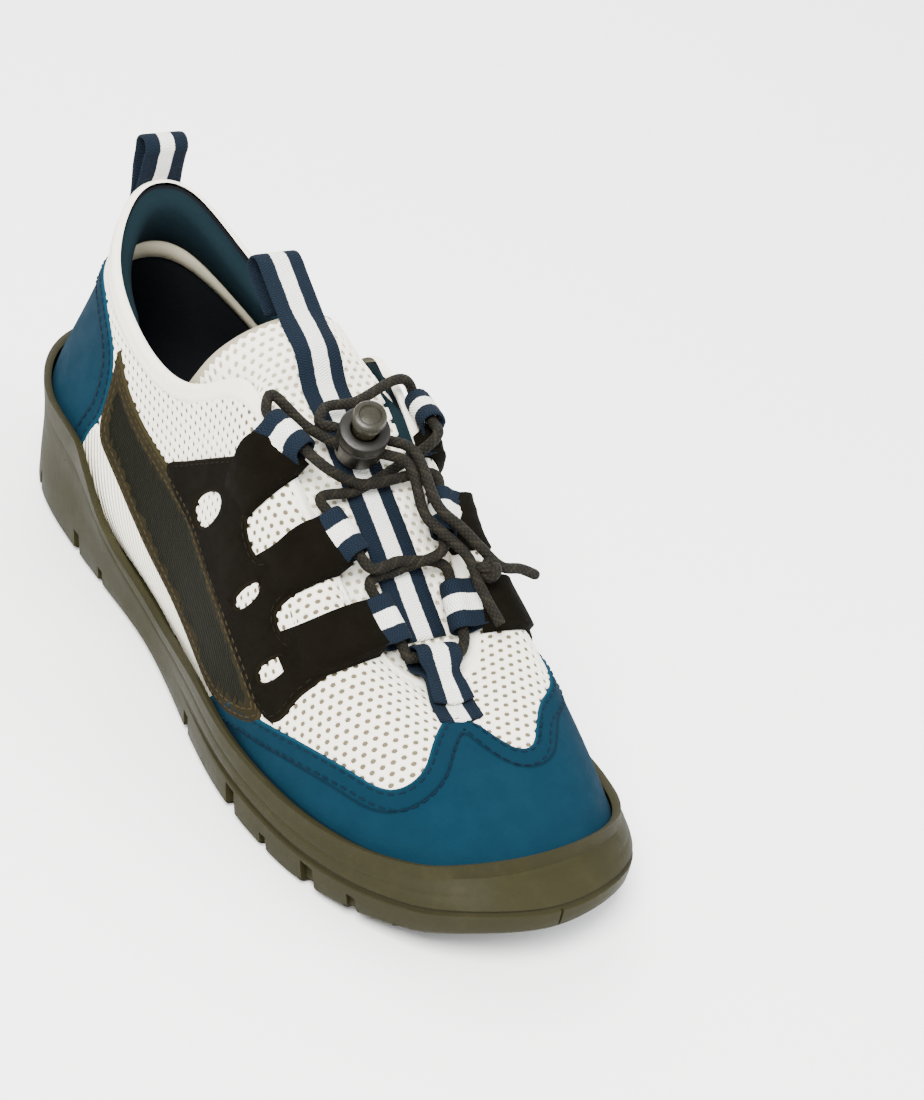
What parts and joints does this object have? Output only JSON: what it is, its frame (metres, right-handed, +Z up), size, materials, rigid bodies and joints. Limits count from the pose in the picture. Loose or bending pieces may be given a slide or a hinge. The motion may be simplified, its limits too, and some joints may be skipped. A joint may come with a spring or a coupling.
{
  "type": "water shoe",
  "caption": "Low water shoe with a rubber cup sole, mesh upper, suede toe cap and heel counter, webbing lace loops and an elastic cord with a push-button lock",
  "frame": {"origin": "middle of the box, on the floor plane that the sole stands on", "axes": "+Z up, toe towards -Y, inner (medial) side towards +X; a right shoe"},
  "size_m": [0.1009, 0.285, 0.1212],
  "materials": {
    "rubber": "satin moulded rubber",
    "insole": "black knitted cover",
    "mesh": "cream air mesh",
    "suede": "blue suede",
    "band": "brown and green-grey fabric",
    "web": "black suede-like fabric",
    "webbing": "navy and white woven tape",
    "cord": "dark olive braid",
    "lock": "moulded plastic"
  },
  "bodies": {
    "shoe": {"outsole": "rubber", "insole": "insole", "upper": "mesh", "toe_cap": "suede", "heel_counter": "suede", "side_band": "band", "eyestay_outer": "web", "eyestay_inner": "web", "tongue": "mesh", "tongue_strap": "webbing", "lace_loop_outer_1": "webbing", "lace_loop_outer_2": "webbing", "lace_loop_outer_3": "webbing", "lace_loop_inner_1": "webbing", "lace_loop_inner_2": "webbing", "lace_loop_inner_3": "webbing", "lace_loop_front": "webbing", "heel_pull_loop": "webbing", "lace_front": "cord", "lace_cross_lower": "cord", "lace_cross_upper": "cord", "lace_top_outer": "cord", "lace_top_inner": "cord", "lace_tail_outer": "cord", "lace_tail_inner": "cord", "lace_knot": "cord", "lace_end_a": "cord", "lace_end_b": "cord", "cord_lock_body": "lock"},
    "button": {"cord_lock_button": "lock"}
  },
  "joints": [
    {"name": "button_press", "type": "slide", "parent": "shoe", "child": "button", "axis": [0.2211, 0.4522, -0.8641], "range_m": [0, 0.004], "stiffness_N_per_m": 600}
  ]
}
